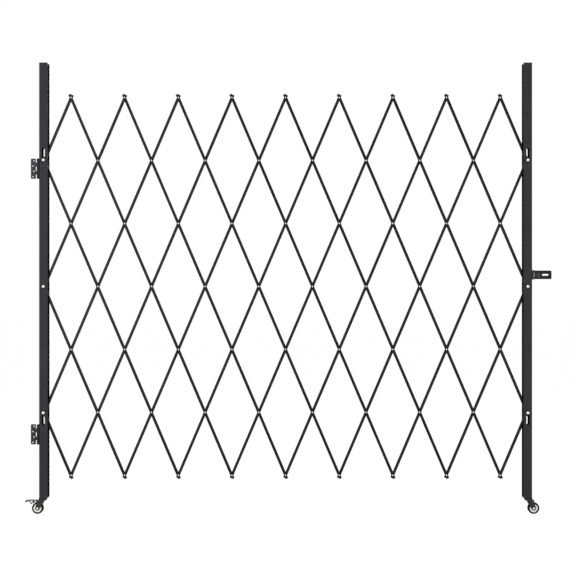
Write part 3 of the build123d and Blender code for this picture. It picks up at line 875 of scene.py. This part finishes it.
for way in ("rising", "falling"):
    for number in range(1, BARS_EACH_WAY + 1):
        node = f"{way}_bar_{number:02d}"
        body = f"{way}_{number:02d}"
        eased(f"{node}_channel", node, body, bar_coat, BAR_EDGE)

for side in ("left", "right"):
    node = f"{side}_post"
    eased(f"{side}_post_channel", node, node, post_coats[side], POST_EDGE)

for name, node, body, coat, edge in (
    ("wall_leaf_pressings", "hinge_wall_leaves", "wall_side", leaf_coat, SHEET_EDGE),
    ("post_leaf_pressings", "hinge_post_leaves", "left_post", leaf_coat, SHEET_EDGE),
    ("hasp_base_pressing", "hasp_base", "right_post", hasp_coat_and_highlights, SHEET_EDGE),
    ("hasp_strap_pressing", "hasp_strap", "hasp", hasp_coat_and_highlights, SHEET_EDGE),
    ("left_fork_pressing", "left_caster_fork", "left_fork", fork_coat, FORK_EDGE),
    ("right_fork_pressing", "right_caster_fork", "right_fork", fork_coat, FORK_EDGE),
):
    eased(name, node, body, coat, edge)


# Casters


def tyre_shape():
    """Crowned tread with a faint parting line, round shoulders and a groove in each side."""
    outer, side = WHEEL_RADIUS, TYRE_HALF_WIDTH
    centre = (outer - TYRE_SHOULDER_INSET, side - TYRE_SHOULDER)
    shoulder = arc(centre, TYRE_SHOULDER, 90, TYRE_SHOULDER_END, TYRE_SHOULDER_STEPS)
    flank = stepped(HUB_RADIUS, side, TYRE_FLANK)
    crown = stepped(outer, 0, TYRE_CROWN)
    return turned(mirrored(flank + shoulder + crown), WHEEL_STEPS, closed=True)


def hub_shape():
    """Rim, recessed web and boss, with the draft and the rounds of a moulding."""
    half = [
        (AXLE_RADIUS, HUB_BOSS_HALF),
        *stepped(HUB_BOSS, HUB_BOSS_HALF, BOSS_EDGE),
        *stepped(HUB_BOSS, HUB_WEB_HALF, BOSS_FOOT),
        *stepped(HUB_RIM, HUB_WEB_HALF, RIM_FOOT),
        *stepped(HUB_RIM, HUB_RIM_HALF, RIM_EDGE),
        (HUB_RADIUS, HUB_RIM_HALF),
    ]
    return turned(mirrored(half), WHEEL_STEPS, closed=True)


def rib_corners(side):
    """Corners of one rib of the hub, thinner towards its outer edge."""
    foot, top = side * (HUB_WEB_HALF - RIB_INTO_BOSS), side * HUB_RIB_TOP
    inner, outer = HUB_BOSS - RIB_INTO_BOSS, HUB_RIM + RIB_INTO_RIM
    corners = []
    for y, half in ((foot, HUB_RIB_HALF), (top, HUB_RIB_HALF * HUB_RIB_DRAFT)):
        corners += [(inner, y, -half), (outer, y, -half), (outer, y, half), (inner, y, half)]
    return corners


def hub_ribs():
    bm = bmesh.new()
    for side in (-1, 1):
        for number in range(HUB_RIBS):
            verts = [bm.verts.new(corner) for corner in rib_corners(side)]
            bmesh.ops.convex_hull(bm, input=verts)
            turn = Matrix.Rotation(2 * math.pi * number / HUB_RIBS, 3, "Y")
            bmesh.ops.rotate(bm, verts=verts, matrix=turn)
    flattened(bm, BLOCK_FLATNESS)
    rounded(bm, bm.edges[:], HUB_RIB_EDGE, segments=2)
    return mesh_of("hub_ribs", bm)


def sleeve_shape(side):
    """The steel sleeve in the hub's boss, a little proud of the nylon."""
    near, far = HUB_BOSS_HALF - SLEEVE_DEPTH, HUB_BOSS_HALF + SLEEVE_PROUD
    profile = [
        (SLEEVE_BORE, side * near),
        (SLEEVE_RADIUS, side * near),
        (SLEEVE_RADIUS, side * (far - SLEEVE_EDGE)),
        (SLEEVE_RADIUS - SLEEVE_EDGE, side * far),
        (SLEEVE_BORE, side * far),
    ]
    return turned(profile, BOLT_STEPS, closed=True)


def pin_shape(shank, head, rise, face):
    """A headed pin through the fork, riveted over behind."""
    skirt = face + rise * PIN_SKIRT_SHARE
    front = dome(head, rise * PIN_DOME_SHARE, skirt, -1, PIN_DOME_STEPS)
    middle = [(head, -face), (shank, -face), (shank, face)]
    tail = dome(head * PIN_TAIL_WIDTH, rise * PIN_TAIL_RISE, face, 1, PIN_TAIL_STEPS)
    return turned(front + middle + tail[::-1], BOLT_STEPS)


def axle_washer(side):
    near = side * FORK_FACE
    far = near + side * AXLE_WASHER_THICKNESS
    profile = [
        (AXLE_RADIUS, near),
        (AXLE_WASHER, near),
        (AXLE_WASHER, far - side * AXLE_WASHER_EDGE),
        (AXLE_WASHER - AXLE_WASHER_EDGE, far),
        (AXLE_RADIUS, far),
    ]
    return turned(profile, BOLT_STEPS, closed=True)


def nut_shape():
    """A hexagon nut with its rims chamfered, its foot at the origin."""
    corner = NUT_FLATS / math.sqrt(3)
    profile = [
        (STEM_RADIUS, 0),
        (corner - NUT_CHAMFER, 0),
        (corner, NUT_CHAMFER),
        (corner, NUT_HEIGHT - NUT_CHAMFER),
        (corner - NUT_CHAMFER, NUT_HEIGHT),
        (STEM_RADIUS, NUT_HEIGHT),
    ]
    return upright(turned(profile, NUT_SIDES, closed=True))


def raceway_shape(low, high):
    """The pressed raceway: a flat top, a rolled shoulder, and a skirt with a groove."""
    profile = [
        (KINGPIN_RADIUS, high),
        *stepped(RACEWAY_RADIUS, high, RACEWAY_SHOULDER),
        *stepped(RACEWAY_RADIUS, high, RACEWAY_GROOVE),
        *stepped(RACEWAY_RADIUS, low, RACEWAY_FOOT),
        (KINGPIN_RADIUS, low),
    ]
    return upright(turned(profile, WHEEL_STEPS, closed=True))


def kingpin_shape(low, high):
    """The pin under the raceway, with a pressed head."""
    profile = [
        (0, low),
        (KINGPIN_HEAD - KINGPIN_EDGE_WIDTH, low),
        (KINGPIN_HEAD, low + KINGPIN_EDGE_HEIGHT),
        (KINGPIN_HEAD, low + KINGPIN_HEAD_HEIGHT),
        (KINGPIN_RADIUS, low + KINGPIN_HEAD_HEIGHT),
        (KINGPIN_RADIUS, high),
        (0, high),
    ]
    return upright(turned(profile, BOLT_STEPS))


def stem_shape(low, high):
    """The stem above the raceway, with a chamfered tip and the thread's grooves."""
    profile = [(0, low), (STEM_RADIUS, low)]
    level = low + FOOT_PLATE
    while level < high - THREAD_RUN_OUT:
        profile.append((STEM_RADIUS, level))
        profile.append((STEM_RADIUS - THREAD_DEPTH, level + THREAD_PITCH / 2))
        level += THREAD_PITCH
    profile += [(STEM_RADIUS - STEM_CHAMFER, high), (0, high)]
    return upright(turned(profile, BOLT_STEPS))


stem_low, stem_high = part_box("left_caster_stem")
crown_top = stem_low[2] + KINGPIN_HEAD_HEIGHT + CROWN_DEPTH
post_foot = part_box("left_post")[0][2]
tyre = tyre_shape()
hub = [hub_shape(), hub_ribs()]
sleeves = [sleeve_shape(side) for side in (-1, 1)]
axle = pin_shape(AXLE_RADIUS, AXLE_HEAD, AXLE_DOME, FORK_FACE + AXLE_WASHER_THICKNESS)
axle_washers = [axle_washer(side) for side in (-1, 1)]
raceway = raceway_shape(crown_top, post_foot)
stem_steel = [kingpin_shape(stem_low[2], crown_top), stem_shape(post_foot, stem_high[2])]
nut = nut_shape()

for side in ("left", "right"):
    wheel = pivot_place(f"{side}_wheel_spin")
    swivel = pivot_place(f"{side}_caster_swivel")
    foot = Vector((swivel.x, swivel.y, 0))
    nut_seat = foot + Vector((0, 0, post_foot + FOOT_PLATE))
    on_post, on_fork, on_wheel = f"{side}_post", f"{side}_fork", f"{side}_wheel"
    for name, shapes, place, body, slot, material, replaced in (
        ("tyre_tread", [tyre], wheel, on_wheel, "tyre", tyre_rubber, ["tyre"]),
        ("hub_moulding", hub, wheel, on_wheel, "hub", hub_nylon, ["hub"]),
        ("hub_sleeve", sleeves, wheel, on_wheel, "zinc", dull_zinc, []),
        ("axle_pin", [axle], wheel, on_fork, "zinc", bright_zinc, ["axle"]),
        ("axle_washers", axle_washers, wheel, on_fork, "hardware_coat", washer_black, []),
        ("raceway", [raceway], foot, on_post, "hardware_coat", fork_coat, ["stem"]),
        ("stem_steel", stem_steel, foot, on_post, "zinc", dull_zinc, []),
        ("stem_nut", [nut], nut_seat, on_post, "zinc", dull_zinc, []),
    ):
        nodes = [f"{side}_caster_{part}" for part in replaced]
        finished(f"{side}_{name}", assembled(shapes, place), body, material, nodes)


# The left caster's brake lever

lever_pivot = pivot_place("brake_press")
lever_low, lever_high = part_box("left_caster_brake_lever")
lever_pin = pin_shape(LEVER_PIN_RADIUS, LEVER_PIN_HEAD, LEVER_PIN_DOME, FORK_FACE)
finished(
    "brake_lever_pin", gathered(lever_pin, [lever_pivot]), "left_fork", bright_zinc
)
eased(
    "brake_lever_pressing",
    "left_caster_brake_lever",
    "brake_lever",
    hardware_coat,
    SHEET_EDGE,
)

lever_top = lever_high[2]
tip_end = lever_low[0]
pad_start = tip_end + PAD_LENGTH
pad_slope = PAD_DROP / PAD_LENGTH
tread_top = lever_top + TREAD_THICKNESS


def softened_block(low, high, edge):
    """A block with all its edges rounded."""
    corners = [
        (x, y, z) for x in (low[0], high[0]) for y in (low[1], high[1]) for z in (low[2], high[2])
    ]
    bm = bmesh.new()
    bmesh.ops.convex_hull(bm, input=[bm.verts.new(corner) for corner in corners])
    flattened(bm, BLOCK_FLATNESS)
    rounded(bm, bm.edges[:], edge, segments=3)
    return mesh_of("softened_block", bm)


def on_the_slope(shapes):
    """Lowers what lies over the foot pad along with the pad's slope."""
    bm = assembled(shapes, (0, 0, 0))
    for vert in bm.verts:
        vert.co.z -= pad_slope * max(0.0, pad_start - vert.co.x)
    return bm


def tread_block(start, end, half_width, top, edge):
    """A block that stands on the lever's top, between two places along it."""
    return softened_block((start, -half_width, lever_top), (end, half_width, top), edge)


tread_start = tip_end + TIP_LENGTH
tread_end = lever_pivot.x - TREAD_START
slope_end = pad_start + TREAD_THICKNESS
tread = [
    tread_block(pad_start, tread_end, TREAD_HALF_WIDTH, tread_top, TREAD_EDGE),
    tread_block(tread_start, slope_end, TREAD_HALF_WIDTH, tread_top, TREAD_EDGE),
]
ridge_pitch = (tread_end - tread_start) / (TREAD_RIDGES + 1)
for number in range(1, TREAD_RIDGES + 1):
    middle = tread_start + number * ridge_pitch
    tread.append(
        tread_block(
            middle - RIDGE_HALF,
            middle + RIDGE_HALF,
            TREAD_HALF_WIDTH - RIDGE_HALF,
            lever_top + RIDGE_RISE,
            RIDGE_EDGE,
        )
    )
finished("brake_tread", on_the_slope(tread), "brake_lever", tread_zinc)

tip_low = (
    tip_end - TIP_PROUD,
    lever_low[1] - TIP_PROUD / 2,
    lever_top - PAD_THICKNESS - TIP_PROUD,
)
tip_high = (tip_end + TIP_LENGTH, lever_high[1] + TIP_PROUD / 2, tread_top)
tip_shapes = [softened_block(tip_low, tip_high, TIP_EDGE)]
rib_pitch = TIP_LENGTH / (TIP_RIBS + 1)
rib_half = rib_pitch * TIP_RIB_SHARE
for number in range(1, TIP_RIBS + 1):
    middle = tip_end + number * rib_pitch
    rib_low = (middle - rib_half, tip_low[1] + TIP_RIB_INSET, tread_top - TIP_RIB_SINK)
    rib_high = (middle + rib_half, tip_high[1] - TIP_RIB_INSET, tread_top + TIP_RIB_RISE)
    tip_shapes.append(softened_block(rib_low, rib_high, TIP_RIB_EDGE))
finished("brake_tip", on_the_slope(tip_shapes), "brake_lever", pad_rubber)

# The hinge pins keep their CAD mesh and take a finish
pin_mesh = frame["nodes"]["hinge_pins"].data
pin_mesh.materials.clear()
pin_mesh.materials.append(dull_zinc)


# Floor, light, background and camera


def seen_directly(tree):
    """1 for rays from the camera, and for reflected and transmitted ones."""
    path = tree.nodes.new("ShaderNodeLightPath").outputs
    direct = joined(tree, "MAXIMUM", path["Is Camera Ray"], path["Is Glossy Ray"])
    return joined(tree, "MAXIMUM", direct, path["Is Transmission Ray"])


def studio_floor():
    """A white floor that keeps the gate's shadow and has no edge against the background."""
    bm = bmesh.new()
    bmesh.ops.create_grid(bm, x_segments=2, y_segments=2, size=FLOOR_SIZE / 2)
    mesh = mesh_of("floor", bm)
    material, tree, shader = new_material("floor_white")
    shader.inputs["Base Color"].default_value = (FLOOR_WHITE, FLOOR_WHITE, FLOOR_WHITE, 1)
    shader.inputs["Roughness"].default_value = FLOOR_ROUGHNESS
    shader.inputs["Specular IOR Level"].default_value = FLOOR_SPECULAR
    glow = tree.nodes.new("ShaderNodeEmission")
    glow.inputs["Strength"].default_value = FLOOR_GLOW
    mix = tree.nodes.new("ShaderNodeMixShader")
    share = joined(tree, "MULTIPLY", seen_directly(tree), FLOOR_GLOW_SHARE)
    tree.links.new(share, mix.inputs["Fac"])
    tree.links.new(shader.outputs["BSDF"], mix.inputs[1])
    tree.links.new(glow.outputs["Emission"], mix.inputs[2])
    tree.links.new(mix.outputs["Shader"], tree.nodes["Material Output"].inputs["Surface"])
    mesh.materials.append(material)
    floor = bpy.data.objects.new("studio_floor", mesh)
    bpy.context.scene.collection.objects.link(floor)


def studio_world():
    world = bpy.data.worlds.new("studio")
    bpy.context.scene.world = world
    world.use_nodes = True
    tree = world.node_tree
    background = tree.nodes["Background"]
    background.inputs["Color"].default_value = (1, 1, 1, 1)
    brightness = (BACKGROUND_LIGHT, BACKGROUND_SEEN)
    strength = ranged(tree, seen_directly(tree), (0.0, 1.0), brightness)
    tree.links.new(strength, background.inputs["Strength"])


def softbox(name, place, size, watts):
    lamp = bpy.data.lights.new(name, "AREA")
    lamp.shape = "SQUARE"
    lamp.size = size
    lamp.energy = watts
    box = bpy.data.objects.new(name, lamp)
    box.location = place
    way = Vector(SOFTBOX_AIM) - Vector(place)
    box.rotation_euler = way.to_track_quat("-Z", "Y").to_euler()
    bpy.context.scene.collection.objects.link(box)


def studio_camera():
    data = bpy.data.cameras.new("camera")
    data.sensor_width = SENSOR
    data.lens = LENS
    camera = bpy.data.objects.new("camera", data)
    camera.location = (CAMERA_X, -POST_HALF_DEPTH - CAMERA_DISTANCE, CAMERA_HEIGHT)
    camera.rotation_euler = (math.pi / 2, 0, 0)
    bpy.context.scene.collection.objects.link(camera)
    bpy.context.scene.camera = camera


studio_floor()
studio_world()
for name, place, size, watts in SOFTBOXES:
    softbox(name, place, size, watts)
studio_camera()
bpy.context.scene.view_settings.view_transform = "Standard"
